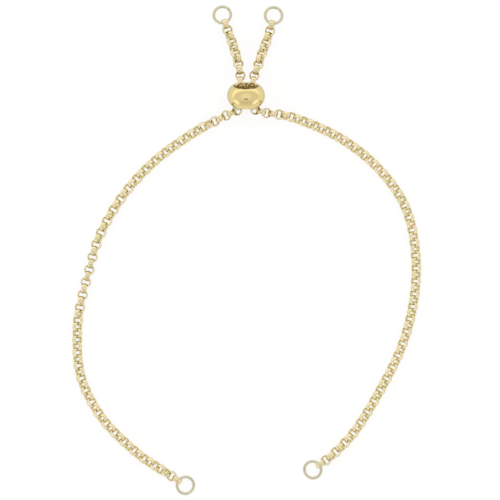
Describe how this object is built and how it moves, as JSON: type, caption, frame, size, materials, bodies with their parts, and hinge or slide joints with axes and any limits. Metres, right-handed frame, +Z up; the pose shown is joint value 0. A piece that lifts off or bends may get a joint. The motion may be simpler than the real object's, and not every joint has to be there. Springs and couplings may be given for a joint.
{
  "type": "chain bracelet",
  "caption": "Adjustable rolo chain bracelet: two chains slide through one round bead, with open jump rings at the front ends and tails.",
  "frame": {"origin": "centre of the bounding box, on the surface that the bracelet lies on", "axes": "+Z up from the surface, +Y from the open front towards the slider bead and the tails, +X to the right seen from above"},
  "size_m": [0.0739, 0.1037, 0.0079],
  "materials": {
    "gold": "polished yellow gold plating",
    "bead_gold": "mirror polished yellow gold plating",
    "ring_gold": "polished pale gold wire"
  },
  "bodies": {
    "root": {"chain_left": "gold", "chain_right": "gold", "slider_bead": "bead_gold", "jump_ring_lower_left": "ring_gold", "jump_ring_lower_right": "ring_gold", "jump_ring_upper_left": "ring_gold", "jump_ring_upper_right": "ring_gold"}
  },
  "joints": []
}
